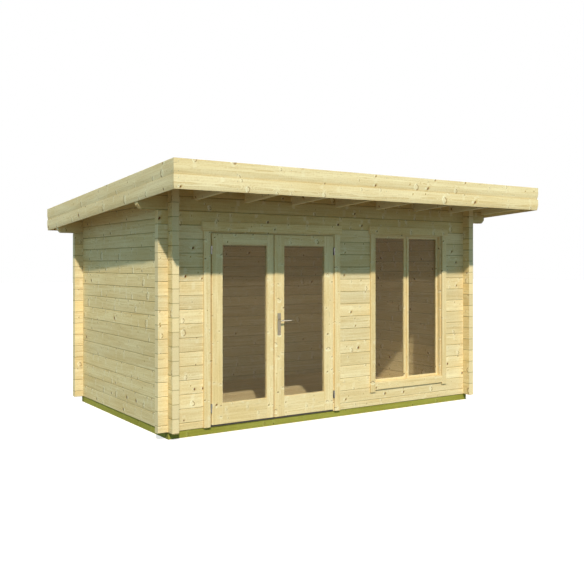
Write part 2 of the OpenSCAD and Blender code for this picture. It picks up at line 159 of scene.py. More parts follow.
pineLook = {
    "pale": tone(246, 228, 179),
    "deep": tone(208, 174, 112),
    "heart": tone(236, 212, 156),
    "knot": tone(94, 50, 12),
    "knotHeart": tone(140, 80, 26),
    "knotHalo": tone(204, 160, 70),
    # pale colour for the whorls across the board and for the painted highlights beside knots and on curls
    "paleWoodAndHighlight": tone(252, 240, 200),
    "curlShadeColour": tone(142, 94, 36),
    "check": tone(122, 92, 52),
    "endGrain": tone(243, 221, 170),
    "rings": 190.0,       # growth rings per metre from the pith
    "ringDepth": 0.42,
    "boardShift": 0.17,   # brightness change from board to board
    "knotStep": 0.21,     # metres between knot places along a board
    "knotBand": 0.110,    # and across it
    "knotShare": 0.80,
    "knotSize": 0.0100,
    "ragScale": 60.0,
    "fibreScale": (7.0, 330.0),   # noise along and across the grain
    "streakScale": (1.7, 58.0),
    "cloudScale": (1.3, 7.0),
    "checkScale": (9.0, 150.0),
    "swayScale": 0.55,
    "rippleScale": (2.6, 9.0),
    "haloMix": 0.85,      # how strongly each mark covers the plain wood
    "whorlMix": 0.3,
    "highlightFleckMix": 0.65,
    # painted highlight and painted shade on the two halves of each knot curl
    "curlHighlightMix": 0.75,
    "curlShadeMix": 0.72,
    "knotMix": 0.97,
    "checkMix": 0.45,
    "seamDark": 0.5,
    "seamHalf": 0.0026,
    "seamRise": 0.0028,   # the dark line sits on the lower chamfer of each log
    "roughness": 0.62,
    "specular": 0.12,
    "bumpDepth": 0.0009,
    "bumpStrength": 0.35,
}
joineryLook = dict(pineLook, pale=tone(247, 226, 173), heart=tone(237, 210, 150), deep=tone(208, 172, 107),
                   knotStep=0.18, knotBand=0.07, knotShare=0.72, knotSize=0.0080, boardShift=0.10)
fasciaLook = dict(pineLook, seamDark=0.25, seamHalf=0.002, knotSize=0.0128, knotStep=0.27)
sideLook = dict(pineLook, pale=tone(244, 225, 171), heart=tone(233, 208, 148), deep=tone(204, 169, 103),
                knotSize=0.0125, knotStep=0.24, knotShare=0.9)
# painted shade: the logs over the openings and at the top of the front wall are toned darker, partly for the
# shade under the eaves
upperShadeLook = dict(pineLook, pale=tone(231, 208, 148), heart=tone(221, 193, 129), deep=tone(195, 158, 93),
                 endGrain=tone(232, 205, 146))
# painted shade: the lintels are toned darker and yellower, partly for the shade they lie in under the eaves
lintelShadeLook = dict(joineryLook, pale=tone(243, 220, 160), heart=tone(233, 203, 140), deep=tone(205, 166, 99))
# painted light: the rafters are toned paler, partly as light on their undersides
rafterLitLook = dict(pineLook, pale=tone(253, 243, 206), heart=tone(249, 232, 188), deep=tone(226, 200, 146))
# painted shade: the roof deck between the rafters is toned darker, partly as shade
deckShadeLook = dict(joineryLook, pale=tone(206, 184, 134), heart=tone(192, 166, 114), deep=tone(168, 136, 84))
bearerLook = dict(pineLook, pale=tone(176, 170, 76), deep=tone(136, 130, 44), heart=tone(162, 155, 62),
                  knot=tone(84, 68, 24), knotHeart=tone(104, 90, 34), knotHalo=tone(130, 118, 46),
                  paleWoodAndHighlight=tone(190, 184, 96), curlShadeColour=tone(110, 100, 36), check=tone(84, 78, 26),
                  endGrain=tone(146, 144, 66), knotSize=0.008, roughness=0.75)


def grainNoise(kit, u, v, scale, seed, detail, rough=0.5):
    return kit.noise(kit.joined(u * scale[0], v * scale[1], seed), 1.0, detail, rough)


def woodSurface(kit, along, across, through, index, ends, look):
    dice = kit.add("ShaderNodeTexWhiteNoise", {"noise_dimensions": "1D"}, {"W": index}, "Color")
    r1, r2, r3 = kit.split(dice)
    u = along + r1 * 41.0
    v = across
    # knots sit at cell points of a stretched cell pattern
    cellU = u / look["knotStep"]
    cellV = v / look["knotBand"] + index * 7.0
    cell = kit.add("ShaderNodeTexVoronoi", {"voronoi_dimensions": "2D", "feature": "F1"},
                   {"Vector": kit.joined(cellU, cellV), "Scale": 1.0, "Randomness": 0.9}, "Color")
    chance, span, kind = kit.split(cell)
    placeU, placeV = kit.split(kit.pull(cell, "Position")[0])[:2]
    du = (cellU - placeU) * look["knotStep"]
    dv = (cellV - placeV) * look["knotBand"]
    rag = grainNoise(kit, u, v, (look["ragScale"], look["ragScale"]), index, 2.0)
    slant = du + dv * (kind - 0.5)
    stretch = 0.6 + kit.step(kind, 0.45, 0.8) * 0.25
    far = (slant * slant + dv * dv * stretch) ** 0.5 * (0.8 + rag * 0.4)
    curly = kit.step(kind, 0.40, 0.44)  # some knots are dark and round, others only curls, pale on one half as a painted highlight and dark on the other half as painted shade
    radius = look["knotSize"] * (0.34 + span * span * span * 0.85) * (1.0 + curly * 0.9)
    chosen = kit.step(chance, 1.0 - look["knotShare"], 1.02 - look["knotShare"])
    ratio = far / radius
    knot = (1.0 - kit.step(ratio, 0.75, 1.1)) * chosen * (1.0 - curly)
    heart = (1.0 - kit.step(ratio, 0.2, 0.8)) * chosen
    halo = (1.0 - kit.step(ratio, 0.8, 3.0)) * chosen * (1.0 - curly)
    pull = (1.0 - kit.step(ratio, 0.5, 5.0)) * chosen
    # painted light: each curl's rim is pale on one half as a painted highlight and dark on the other half as
    # painted shade, as a lit bump looks
    rim = (1.0 - kit.step(abs(ratio - 1.1 + (rag - 0.5) * 0.45), 0.05, 0.4)) * chosen * curly
    half = kit.step(du / radius + (rag - 0.5) * 0.8, -0.5, 0.5)
    curlPaintedShade = rim * half
    curlPaintedHighlight = rim * (1.0 - half)
    # painted highlight: a pale fleck on one side of each knot
    beside = du - radius * (kind * 4.0 - 2.0) * 1.4
    glint = (beside * beside * 0.6 + dv * dv * 0.8) ** 0.5 / radius
    paleWoodAndHighlight = (1.0 - kit.step(glint, 0.4, 1.7)) * chosen * (1.0 - knot) * (1.0 - curly)
    # the wood is paler right across the board where branches started
    whorl = (1.0 - kit.step(abs(du + (rag - 0.5) * 0.012), 0.006, 0.03)) * chosen * span
    # growth rings round a pith that wanders along the board
    sway = kit.noise(kit.joined(u * look["swayScale"], index * 3.7), 1.0, 2.0)
    ripple = grainNoise(kit, u, v, look["rippleScale"], index * 1.7, 2.0)
    offAcross = v + (r2 - 0.5) * 0.11 + (sway - 0.5) * 0.14
    offThrough = through + (r3 - 0.5) * 0.05 + 0.004
    pith = (offAcross * offAcross + offThrough * offThrough) ** 0.5
    ring = ((pith + (ripple - 0.5) * 0.009 + pull * 0.012) * look["rings"]).op("FRACT")
    late = kit.step(ring, 0.3, 0.92) * (1.0 - kit.step(ring, 0.92, 1.0))
    fibre = grainNoise(kit, u, v, look["fibreScale"], index + through * 200.0, 3.0, 0.6)
    streak = grainNoise(kit, u, v, look["streakScale"], index * 2.3, 4.0, 0.62)
    cloud = grainNoise(kit, u, v, look["cloudScale"], index * 5.1, 3.0)
    check = grainNoise(kit, u, v, look["checkScale"], index * 1.3 + 4.0, 1.0)
    check = kit.step(check, 0.71, 0.78)
    figure = late * look["ringDepth"] + (fibre - 0.5) * 0.5 + (streak - 0.5) * 1.25 + (rag - 0.5) * 0.7
    grain = kit.step(figure, -0.35, 1.1)
    body = kit.blend(kit.step(cloud, 0.33, 0.72), look["pale"], look["heart"])
    colour = kit.blend(grain, body, look["deep"])
    colour = kit.blend(check * look["checkMix"], colour, look["check"])
    colour = kit.blend(halo * look["haloMix"], colour, look["knotHalo"])
    colour = kit.blend(whorl * look["whorlMix"], colour, look["paleWoodAndHighlight"])
    # painted highlight beside each knot
    colour = kit.blend(paleWoodAndHighlight * look["highlightFleckMix"], colour, look["paleWoodAndHighlight"])
    # painted highlight and painted shade on the two halves of each curl
    colour = kit.blend(curlPaintedHighlight * look["curlHighlightMix"], colour, look["paleWoodAndHighlight"])
    colour = kit.blend(curlPaintedShade * look["curlShadeMix"], colour, look["curlShadeColour"])
    core = kit.blend(heart * 0.7, look["knot"], look["knotHeart"])
    colour = kit.blend(knot * look["knotMix"], colour, core)
    cut = kit.blend(late * 0.5 + (rag - 0.5) * 0.3, look["endGrain"], look["deep"])
    colour = kit.blend(ends, colour, cut)
    shade = 1.0 - look["boardShift"] * 0.6 + r3 * look["boardShift"]
    warm = kit.tinted(shade, shade * (0.985 + r2 * 0.02), shade * (0.955 + r2 * 0.06))
    colour = kit.blend(1.0, colour, warm, "MULTIPLY")
    rough = look["roughness"] + (fibre - 0.5) * 0.14 - knot * 0.1 + ends * 0.12
    height = fibre * 0.5 + (1.0 - late) * 0.35 + pull * 0.8 - curlPaintedShade * 0.6 - check * 0.5
    return colour, rough, height


def seamShade(kit, colour, height, gap, along, look):  # dark joint line where one board meets the next, partly painted shade in the groove, with a faint band of painted shade beside it
    ragged = kit.noise(kit.joined(along * 9.0, gap * 50.0), 1.0, 3.0)
    wide = look["seamHalf"] * (0.75 + ragged * 0.5)
    line = 1.0 - kit.step(gap / wide, 0.55, 1.25)
    # painted shade: a faint darker band beside the joint line
    soft = 1.0 - kit.step(gap / wide, 0.8, 4.5)
    dark = (1.0 - line * look["seamDark"]) * (1.0 - soft * 0.05)
    tint = kit.tinted(dark, dark * (0.86 + dark * 0.14), dark * (0.5 + dark * 0.5))
    return kit.blend(1.0, colour, tint, "MULTIPLY"), height - line


def finishWood(kit, colour, rough, height, look):
    return kit.finish(colour, rough, height, {"Specular IOR Level": look["specular"]},
                      look["bumpDepth"], look["bumpStrength"])


# for CAD nodes: the rule gives grain, board number, end and joint from place and normal
def cadWood(name, look, rule):
    kit = materialKit(name)
    coords = kit.place()
    facing = kit.pull(coords, "Normal")[0]
    along, across, through, index, side, gap = rule(kit, *kit.split(coords), *kit.split(facing))
    ends = kit.step(abs(side), 0.9, 0.97)
    colour, rough, height = woodSurface(kit, along, across, through, index, ends, look)
    if gap is not None:
        colour, height = seamShade(kit, colour, height, gap, along, look)
    return finishWood(kit, colour, rough, height, look)


boardStep = 10.0  # v on the grain map steps by this from board to board


def boardWood(name, look):  # for boards made here
    kit = materialKit(name)
    uv = kit.add("ShaderNodeUVMap", {"uv_map": "grain"})
    u, v = kit.split(uv)[:2]
    index = (v / boardStep + 0.5).op("FLOOR")
    ends = kit.add("ShaderNodeAttribute", {"attribute_name": "cutEnd"}, None, "Fac")
    deep = kit.add("ShaderNodeAttribute", {"attribute_name": "boardDeep"}, None, "Fac")
    surface = woodSurface(kit, u, v - index * boardStep, deep + 0.02, index, ends, look)
    return finishWood(kit, *surface, look)


logSizes = {"course": 0.1355, "base": 0.070, "thick": 0.070, "frontY": -0.994, "backY": 1.506,
            "halfWide": 2.0}
roofSizes = {"pitch": 3.42, "frontY": -0.994, "rafters": 9, "rafterStep": (4.6 - 0.045) / 8,
             "rafterLeft": -2.3, "rafterHalf": 0.0225, "rafterLevel": 2.35, "fasciaLower": 0.124}
boardNumbers = {"farWall": 40.0, "sideLogs": 100.0, "frontFascia": 203.0, "sideFascia": 215.0,
                "backFascia": 227.0, "rafters": 240.0, "bearersAlong": 260.0, "bearersAcross": 280.0}
fasciaGrain = {"middle": 0.06, "apart": 0.12, "apartBack": 0.1, "through": 0.03, "joint": 0.002}
bearerGrain = {"middle": 0.035, "wrap": 0.8}
slope = math.radians(roofSizes["pitch"])
fall = math.tan(slope)


def farSide(kit, value):  # 0 on the front or left, 1 on the back or right
    return kit.step(value, 0.0, 0.01)


def logGap(across):  # distance to the dark line under this log and to the one under the log above
    half = logSizes["course"] / 2
    under = abs(across + (half - pineLook["seamRise"]))
    above = half + pineLook["seamRise"] - across
    return under.op("MINIMUM", above)


def frontLogs(kit, x, y, z, nx, ny, nz):
    level = (z - logSizes["base"]) / logSizes["course"] + 0.5
    index = level.op("FLOOR")
    back = farSide(kit, y)
    across = (level - index - 0.5) * logSizes["course"]
    frontMiddle = logSizes["frontY"] + logSizes["thick"] / 2
    middle = frontMiddle + back * (logSizes["backY"] - logSizes["frontY"] - logSizes["thick"])
    return x, across, y - middle, index + back * boardNumbers["farWall"], nx, logGap(across)


def sideLogs(kit, x, y, z, nx, ny, nz):
    level = (z - logSizes["base"]) / logSizes["course"]
    index = level.op("FLOOR")
    across = (level - index - 0.5) * logSizes["course"]
    through = abs(x) - logSizes["halfWide"] + logSizes["thick"] / 2
    number = index + boardNumbers["sideLogs"] + farSide(kit, x) * boardNumbers["farWall"]
    return y, across, through, number, ny, logGap(across)


def fasciaBoards(kit, level, first, apart):  # two boards, one above the other
    upper = kit.step(level, -0.0005, 0.0005)
    across = level + fasciaGrain["middle"] - upper * apart
    return across, fasciaGrain["through"], upper + first, abs(level - fasciaGrain["joint"])


def frontFascia(kit, x, y, z, nx, ny, nz):
    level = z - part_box("fascia_front")[0][2] - roofSizes["fasciaLower"]
    across, through, number, gap = fasciaBoards(kit, level, boardNumbers["frontFascia"], fasciaGrain["apart"])
    return x, across, through, number, nx, gap


def sideFascia(kit, x, y, z, nx, ny, nz):
    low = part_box("fascia_left")[0][2] + roofSizes["fasciaLower"]
    level = z + (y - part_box("fascia_left")[1][1]) * fall - low
    across, through, number, gap = fasciaBoards(kit, level, boardNumbers["sideFascia"], fasciaGrain["apart"])
    return y, across, through, number + farSide(kit, x) * 2.0, ny, gap


def backFascia(kit, x, y, z, nx, ny, nz):
    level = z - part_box("fascia_back")[0][2] - roofSizes["fasciaLower"]
    across, through, number, gap = fasciaBoards(kit, level, boardNumbers["backFascia"],
                                                fasciaGrain["apartBack"])
    return x, across, through, number, nx, gap


def rafterGrain(kit, x, y, z, nx, ny, nz):
    index = ((x - roofSizes["rafterLeft"]) / roofSizes["rafterStep"] + 0.3).op("FLOOR")
    level = z + (y - roofSizes["frontY"]) * fall - roofSizes["rafterLevel"]
    through = x - roofSizes["rafterLeft"] - index * roofSizes["rafterStep"]
    return y, level + through * 0.9, through, index + boardNumbers["rafters"], ny, None


def bearerFront(kit, x, y, z, nx, ny, nz):
    across = z - bearerGrain["middle"] + y * bearerGrain["wrap"]
    return x, across, y * 0.5, farSide(kit, y) + boardNumbers["bearersAlong"], nx, None


def bearerSide(kit, x, y, z, nx, ny, nz):
    across = z - bearerGrain["middle"] + x * bearerGrain["wrap"]
    return y, across, x * 0.2, (x * 2.5).op("FLOOR") + boardNumbers["bearersAcross"], ny, None


def dress(material, *nodes):
    for node in nodes:
        piece = cadNodes[node]
        piece.data.materials.clear()
        piece.data.materials.append(material)


dress(cadWood("front logs", pineLook, frontLogs), "front_wall_left", "front_wall_middle",
      "front_wall_right", "front_wall_sill", "back_wall", "back_wall_top")
# the upper front logs carry painted shade from the eaves in their tone
dress(cadWood("upper front logs with painted shade", upperShadeLook, frontLogs), "front_wall_over", "front_wall_top")
dress(cadWood("side logs", sideLook, sideLogs), "left_wall", "right_wall")
dress(cadWood("front fascia boards", fasciaLook, frontFascia), "fascia_front")
dress(cadWood("side fascia boards", fasciaLook, sideFascia), "fascia_left", "fascia_right")
dress(cadWood("back fascia boards", fasciaLook, backFascia), "fascia_back")
# rafters with painted light in their paler tone
dress(cadWood("rafter timber with painted light", rafterLitLook, rafterGrain), "rafters")
dress(cadWood("treated bearers along", bearerLook, bearerFront), "bearer_front", "bearer_back")
dress(cadWood("treated bearers across", bearerLook, bearerSide), "bearer_left", "bearer_right",
      "floor_joists")
print("stage: timber materials")


# metal, glass and roofing

steelLook = {"brushAcross": 900.0, "brushAlong": 40.0, "smear": 35.0, "worn": 0.82, "bumpDepth": 0.0002,
             "bumpStrength": 0.15}


def satinSteel(name, colour, rough):
    kit = materialKit(name)
    coords = kit.place()
    x, y, z = kit.split(coords)
    across = steelLook["brushAcross"]
    brush = kit.noise(kit.joined(x * across, y * across, z * steelLook["brushAlong"]), 1.0, 2.0)
    smear = kit.noise(coords, steelLook["smear"], 3.0)
    worn = tuple(c * steelLook["worn"] for c in colour[:3]) + (1.0,)
    shade = kit.blend(kit.step(smear, 0.3, 0.8), colour, worn)
    return kit.finish(shade, rough + (brush - 0.5) * 0.18 + (smear - 0.5) * 0.1, brush,
                      {"Metallic": 1.0}, steelLook["bumpDepth"], steelLook["bumpStrength"])


paneLook = {"tint": tone(60, 44, 24), "veil": 0.14, "roughness": 0.015, "ior": 2.75,
            "mirrorTint": (1.0, 0.85, 0.55, 1.0)}


def paneGlass():
    return materialKit("brown tinted glass").surface({
        "Base Color": paneLook["tint"], "Roughness": paneLook["roughness"], "IOR": paneLook["ior"],
        "Specular Tint": paneLook["mirrorTint"], "Alpha": paneLook["veil"]})


feltTones = {"dark": tone(74, 77, 77), "pale": tone(96, 98, 96), "grit": tone(132, 133, 129),
             "pit": tone(44, 46, 47), "rain": tone(112, 108, 96), "gritScale": 380.0, "roughness": 0.88,
             "specular": 0.25, "bumpDepth": 0.0012, "bumpStrength": 0.6}


def roofFelt():
    look = feltTones
    kit = materialKit("mineral roof felt")
    coords = kit.place()
    x, y, z = kit.split(coords)
    grit = kit.add("ShaderNodeTexVoronoi", {"feature": "F1"}, {"Vector": coords, "Scale": look["gritScale"]},
                   "Color")
    fleckR, fleckG, fleckB = kit.split(grit)
    cloud = kit.noise(coords, 1.7, 4.0)
    runs = kit.noise(kit.joined(x * 7.0, y * 0.5, z), 1.0, 4.0)  # rain marks run down the slope
    colour = kit.blend(kit.step(cloud, 0.3, 0.75), look["dark"], look["pale"])
    colour = kit.blend(kit.step(fleckR, 0.45, 1.0) * 0.6, colour, look["grit"])
    colour = kit.blend(kit.step(fleckG, 0.75, 1.0) * 0.6, colour, look["pit"])
    colour = kit.blend(kit.step(runs, 0.55, 0.8) * 0.3, colour, look["rain"])
    return kit.finish(colour, look["roughness"] + (cloud - 0.5) * 0.12, fleckB,
                      {"Specular IOR Level": look["specular"]}, look["bumpDepth"], look["bumpStrength"])


handleSteel = satinSteel("handle steel", tone(152, 145, 126), 0.38)
# painted light: the lever is the handle's steel made paler, so it reads as brightly lit
leverLitSteel = satinSteel("lever steel painted paler", tone(205, 198, 178), 0.34)
# painted shade: a black disc and slit on the key ring stand for the shade inside the key hole
keyHoleShade = satinSteel("key hole painted shade", tone(34, 34, 35), 0.6)
hingeSteel = satinSteel("hinge steel", tone(140, 140, 138), 0.42)
# painted shade: the threshold metal is made dark, partly to stand for the shadow line under the leaves
thresholdShadeMetal = satinSteel("threshold bronze darkened for painted shade", tone(86, 82, 74), 0.5)
dress(hingeSteel, "hinge_pins", "left_hinges", "right_hinges")
dress(thresholdShadeMetal, "door_threshold")
dress(paneGlass(), "left_pane", "right_pane", "window_panes")
print("stage: metal, glass and roofing materials")


# boards made here: eased edges, grain on the UV map, cut ends marked

trimWood = boardWood("joinery pine", joineryLook)
# roof deck boards with painted shade in their darker tone
deckShadeWood = boardWood("roof deck pine with painted shade", deckShadeLook)
# lintel boards with painted shade in their tone
lintelShadeWood = boardWood("lintel pine with painted shade", lintelShadeLook)
boardCount = {"next": 1}


def newBlock(size):
    part = bmesh.new()
    bmesh.ops.create_cube(part, size=1.0)
    bmesh.ops.scale(part, vec=size, verts=part.verts)
    return part


def easeEdges(part, edges, amount, segments=2, clamp=False):
    bmesh.ops.bevel(part, geom=edges, offset=amount, offset_type="OFFSET", affect="EDGES", segments=segments,
                    profile=0.5, material=-1, clamp_overlap=clamp)


def addShape(bm, part, place):
    bmesh.ops.transform(part, matrix=place, verts=part.verts)
    mesh = bpy.data.meshes.new("shape")
    part.to_mesh(mesh)
    part.free()
    bm.from_mesh(mesh)
    bpy.data.meshes.remove(mesh)


def addBoard(bm, size, ease, place, shape=None):  # x along the grain, y across, z through
    part = newBlock(size)
    if shape:
        shape(part)
    easeEdges(part, part.edges[:], ease, clamp=True)
    bmesh.ops.recalc_face_normals(part, faces=part.faces)
    part.normal_update()
    grain = part.loops.layers.uv.new("grain")
    cutEnd = part.faces.layers.float.new("cutEnd")
    boardDeep = part.loops.layers.float.new("boardDeep")
    number = boardCount["next"]
    boardCount["next"] += 1
    shift = rng.uniform(0.0, 6.0)
    for face in part.faces:
        face[cutEnd] = 1.0 if abs(face.normal.x) > 0.8 else 0.0
        for loop in face.loops:
            co = loop.vert.co
            loop[grain].uv = (co.x + shift, co.y + number * boardStep)
            loop[boardDeep] = co.z
    if place.determinant() < 0:
        bmesh.ops.reverse_faces(part, faces=part.faces)
    addShape(bm, part, place)


turns = {
    "X": Matrix(((1, 0, 0, 0), (0, 0, -1, 0), (0, 1, 0, 0), (0, 0, 0, 1))),     # along x, across z, through y
    "Z": Matrix(((0, 1, 0, 0), (0, 0, 1, 0), (1, 0, 0, 0), (0, 0, 0, 1))),      # along z, across x, through y
    "Zdeep": Matrix(((0, 0, 1, 0), (0, 1, 0, 0), (1, 0, 0, 0), (0, 0, 0, 1))),  # along z, across y, through x
    "flatX": Matrix.Identity(4),                                                # along x, across y, through z
}


def boardBetween(bm, low, high, grain, ease, shape=None):
    low = Vector(low)
    high = Vector(high)
    span = high - low
    size = {"X": (span.x, span.z, span.y), "Z": (span.z, span.x, span.y), "Zdeep": (span.z, span.y, span.x),
            "flatX": (span.x, span.y, span.z)}[grain]
    addBoard(bm, size, ease, Matrix.Translation((low + high) / 2) @ turns[grain], shape)


def finishPiece(bm, name, body, material, nodes=()):
    mesh = bpy.data.meshes.new(name)
    bm.to_mesh(mesh)
    bm.free()
    piece = bpy.data.objects.new(name, mesh)
    bpy.context.scene.collection.objects.link(piece)
    piece.data.materials.append(material)
    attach(piece, body)
    if nodes:
        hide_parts(*nodes)


def nodeSpan(node):
    low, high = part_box(node)
    return Vector(low), Vector(high)


# casings and lintels round the door and window

casingLook = {"ease": 0.0035, "lintelEase": 0.004, "sideWidth": 0.067}


def makeCasings():
    ease = casingLook["ease"]
    lintelEase = casingLook["lintelEase"]
    single = (("door_casing_left", "doorCasingLeft", "Z", ease, trimWood),
              ("door_casing_right", "doorCasingRight", "Z", ease, trimWood),
              ("door_lintel", "doorLintel", "X", lintelEase, lintelShadeWood),
              ("window_lintel", "windowLintel", "X", lintelEase, lintelShadeWood),
              ("window_apron", "windowApron", "X", ease, trimWood))
    for node, name, grain, edge, wood in single:
        bm = bmesh.new()
        low, high = nodeSpan(node)
        boardBetween(bm, low, high, grain, edge)
        finishPiece(bm, name, "root", wood, [node])
    bm = bmesh.new()
    low, high = nodeSpan("window_casings")
    width = casingLook["sideWidth"]
    boardBetween(bm, low, (low.x + width, high.y, high.z), "Z", ease)
    boardBetween(bm, (high.x - width, low.y, low.z), high, "Z", ease)
    finishPiece(bm, "windowSideCasings", "root", trimWood, ["window_casings"])


makeCasings()
print("stage: casings")


# door frame with its stops

frameLook = {"jamb": 0.040, "head": 0.066, "stopDepth": 0.032, "stopLift": 0.012, "headStopEnd": 0.0155,
             "ease": 0.0025}


def makeDoorFrame():
    look = frameLook
    for node, name in (("door_jamb_left", "doorJambLeft"), ("door_jamb_right", "doorJambRight")):
        bm = bmesh.new()
        low, high = nodeSpan(node)
        if name == "doorJambLeft":
            jambX = (low.x, low.x + look["jamb"])
            stopX = (jambX[1], high.x)
        else:
            jambX = (high.x - look["jamb"], high.x)
            stopX = (low.x, jambX[0])
        boardBetween(bm, (jambX[0], low.y, low.z), (jambX[1], high.y, high.z), "Zdeep", look["ease"])
        boardBetween(bm, (stopX[0], high.y - look["stopDepth"], low.z + look["stopLift"]),
                     (stopX[1], high.y, high.z - look["head"]), "Zdeep", look["ease"])
        finishPiece(bm, name, "root", trimWood, [node])
    bm = bmesh.new()
    low, high = nodeSpan("door_head")
    headLow = high.z - look["head"]
    boardBetween(bm, (low.x, low.y, headLow), high, "X", look["ease"])
    boardBetween(bm, (low.x + look["headStopEnd"], high.y - look["stopDepth"], low.z),
                 (high.x - look["headStopEnd"], high.y, headLow), "X", look["ease"])
    finishPiece(bm, "doorHead", "root", trimWood, ["door_head"])


makeDoorFrame()


# glazed leaves: stiles, rails and mitred beads on both sides of the pane

doorLook = {"railTop": 0.1105, "railBottom": 0.2045, "paneWidth": 0.515, "paneLap": 0.002, "paneSet": 0.016,
            "paneThick": 0.006, "bead": 0.003, "beadSet": 0.005, "leafEase": 0.003, "outerRound": 0.008,
            "stripEase": 0.003}


def mitre(width, inward):  # shortens one long edge at both ends
    def cut(part):
        for vert in part.verts:
            if vert.co.y * inward > 0:
                vert.co.x -= math.copysign(width, vert.co.x)
    return cut


def addBeads(bm, low, high, width, faceY, deepY):  # a mitred frame inside an opening given as (x, z)
    x0, z0 = low
    x1, z1 = high
    y0, y1 = sorted((faceY, deepY))
    ease = width * 0.4
    boardBetween(bm, (x0, y0, z0), (x1, y1, z0 + width), "X", ease, mitre(width, 1))
    boardBetween(bm, (x0, y0, z1 - width), (x1, y1, z1), "X", ease, mitre(width, -1))
    boardBetween(bm, (x0, y0, z0), (x0 + width, y1, z1), "Z", ease, mitre(width, 1))
    boardBetween(bm, (x1 - width, y0, z0), (x1, y1, z1), "Z", ease, mitre(width, -1))


def roundEdge(side, amount):  # rounds one long front edge of an upright board
    def cut(part):
        front = [e for e in part.edges if all(v.co.y * side > 0 and v.co.z < 0 for v in e.verts)]
        easeEdges(part, front, amount, 3, True)
    return cut


def makeLeaf(node, pane, name, body):
    bm = bmesh.new()
    look = doorLook
    low, high = nodeSpan(node)
    paneLow = low.z + look["railBottom"]
    paneHigh = high.z - look["railTop"]
    paneLeft = nodeSpan(pane)[0].x + look["paneLap"]
    paneRight = paneLeft + look["paneWidth"]
    ease = look["leafEase"]
    boardBetween(bm, low, (paneLeft, high.y, high.z), "Z", ease, roundEdge(-1, look["outerRound"]))
    boardBetween(bm, (paneRight, low.y, low.z), high, "Z", ease, roundEdge(1, look["outerRound"]))
    boardBetween(bm, (paneLeft, low.y, low.z), (paneRight, high.y, paneLow), "X", ease)
    boardBetween(bm, (paneLeft, low.y, paneHigh), (paneRight, high.y, high.z), "X", ease)
    glassFront = low.y + look["paneSet"]
    glassBack = glassFront + look["paneThick"]
    corners = ((paneLeft, paneLow), (paneRight, paneHigh))
    addBeads(bm, *corners, look["bead"], low.y + look["beadSet"], glassFront)
    addBeads(bm, *corners, look["bead"], glassBack, high.y - look["beadSet"])
    finishPiece(bm, name, body, trimWood, [node])


def makeCoverStrip():
    bm = bmesh.new()
    low, high = nodeSpan("cover_strip")
    boardBetween(bm, low, high, "Z", doorLook["stripEase"])
    finishPiece(bm, "coverStrip", "right_door", trimWood, ["cover_strip"])


makeLeaf("left_leaf", "left_pane", "leftLeafFrame", "left_door")
makeLeaf("right_leaf", "right_pane", "rightLeafFrame", "right_door")
makeCoverStrip()
print("stage: doors")


# window frame, mullion and sashes

windowLook = {"post": 0.045, "sill": 0.055, "head": 0.050, "mullion": 0.026, "mullionDeep": 0.014,
              "sash": 0.024, "ease": 0.0025, "bead": 0.003, "beadFront": 0.003, "beadBack": 0.002,
              "paneSet": 0.009, "paneThick": 0.006}


def makeWindow():
    bm = bmesh.new()
    look = windowLook
    ease = look["ease"]
    low, high = nodeSpan("window_frame")
    middle = (low.x + high.x) / 2
    mullionX = (middle - look["mullion"] / 2, middle + look["mullion"] / 2)
    postX = (low.x + look["post"], high.x - look["post"])
    sillTop = low.z + look["sill"]
    headLow = high.z - look["head"]
    boardBetween(bm, low, (postX[0], high.y, high.z), "Zdeep", ease)
    boardBetween(bm, (postX[1], low.y, low.z), high, "Zdeep", ease)
    boardBetween(bm, (postX[0], low.y, low.z), (postX[1], high.y, sillTop), "X", ease)
    boardBetween(bm, (postX[0], low.y, headLow), (postX[1], high.y, high.z), "X", ease)
    boardBetween(bm, (mullionX[0], high.y - look["mullionDeep"], sillTop), (mullionX[1], high.y, headLow),
                 "Z", ease)
    finishPiece(bm, "windowFrame", "root", trimWood, ["window_frame"])
    bm = bmesh.new()
    low, high = nodeSpan("window_sashes")
    bar = look["sash"]
    glassFront = low.y + look["paneSet"]
    glassBack = glassFront + look["paneThick"]
    for x0, x1 in ((low.x, mullionX[0]), (mullionX[1], high.x)):
        boardBetween(bm, (x0, low.y, low.z), (x0 + bar, high.y, high.z), "Z", ease)
        boardBetween(bm, (x1 - bar, low.y, low.z), (x1, high.y, high.z), "Z", ease)
        boardBetween(bm, (x0 + bar, low.y, low.z), (x1 - bar, high.y, low.z + bar), "X", ease)
        boardBetween(bm, (x0 + bar, low.y, high.z - bar), (x1 - bar, high.y, high.z), "X", ease)
        corners = ((x0 + bar, low.z + bar), (x1 - bar, high.z - bar))
        addBeads(bm, *corners, look["bead"], low.y + look["beadFront"], glassFront)
        addBeads(bm, *corners, look["bead"], glassBack, high.y - look["beadBack"])
    finishPiece(bm, "windowSashes", "root", trimWood, ["window_sashes"])


makeWindow()
print("stage: window")


# floor and roof boards with chamfered joints

deckLook = {"floorBoard": 0.113, "roofBoard": 0.096, "roofThick": 0.019, "joint": 0.0022, "edgePlay": 0.0012}


def makeFloor():
    bm = bmesh.new()
    low, high = nodeSpan("floor_boards")
    count = round((high.y - low.y) / deckLook["floorBoard"])
    wide = (high.y - low.y) / count
    for i in range(count):
        boardBetween(bm, (low.x, low.y + i * wide, low.z), (high.x, low.y + (i + 1) * wide, high.z), "flatX",
                     deckLook["joint"])
    finishPiece(bm, "floorBoards", "root", trimWood, ["floor_boards"])


def roofFrame(node):  # origin on the front top edge, y down the slope
    low, high = nodeSpan(node)
    place = Matrix.Translation((0.0, low.y, high.z)) @ Matrix.Rotation(-slope, 4, "X")
    return place, (high.y - low.y) / math.cos(slope), high.x


